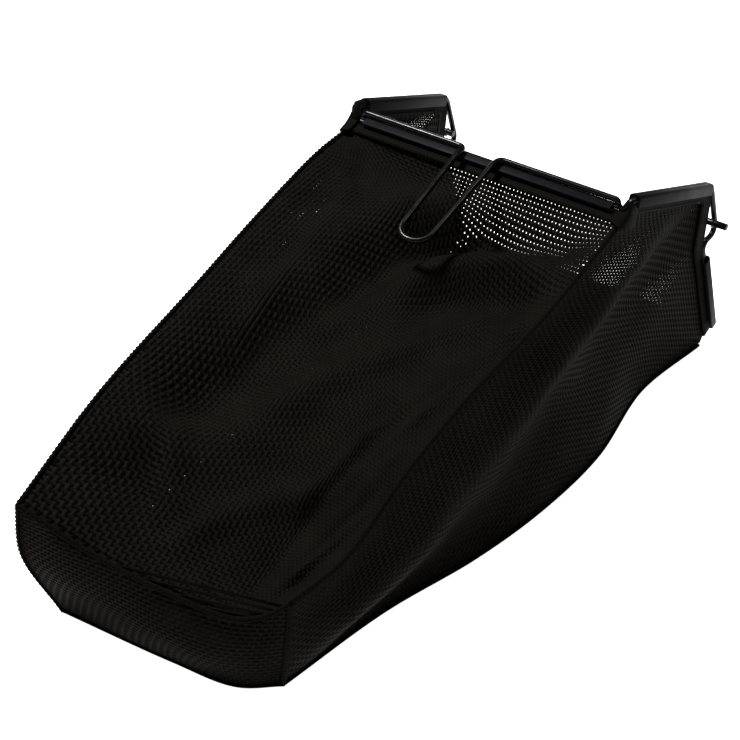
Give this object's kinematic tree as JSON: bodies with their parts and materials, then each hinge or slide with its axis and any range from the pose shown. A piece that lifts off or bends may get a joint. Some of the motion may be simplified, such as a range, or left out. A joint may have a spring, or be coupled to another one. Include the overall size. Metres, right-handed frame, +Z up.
{
  "type": "mower grass collection bag",
  "caption": "Open-mesh cloth collection bag on a bent rod frame with snap channels, a wire carrying loop and side hanger pins, lying half collapsed.",
  "frame": {"origin": "bottom centre of the whole bag's bounding box, on the floor", "axes": "+Z up, +Y forward out of the mouth toward the mower, +X to the right for someone standing behind the bag"},
  "size_m": [0.3788, 0.7828, 0.2883],
  "materials": {
    "black_rod": "satin black coat on round steel rod",
    "snap_channel": "glossy dark grey extruded plastic",
    "hem_tape": "close black woven tape",
    "mesh_cloth": "open black net cloth, holes about half of its area",
    "plain_cloth": "close black woven cloth"
  },
  "bodies": {
    "root": {"upper_frame_rod": "black_rod", "lower_frame_rod": "black_rod", "handle_wire": "black_rod", "left_hanger_pin": "black_rod", "right_hanger_pin": "black_rod", "top_channel": "snap_channel", "bottom_channel": "snap_channel", "left_slant_channel": "snap_channel", "left_post_channel": "snap_channel", "right_slant_channel": "snap_channel", "right_post_channel": "snap_channel", "top_hem": "hem_tape", "bottom_hem": "hem_tape", "left_side_hem": "hem_tape", "right_side_hem": "hem_tape", "top_panel": "mesh_cloth", "left_side_panel": "mesh_cloth", "right_side_panel": "mesh_cloth", "rear_panel": "mesh_cloth", "bottom_panel": "plain_cloth"}
  },
  "joints": []
}
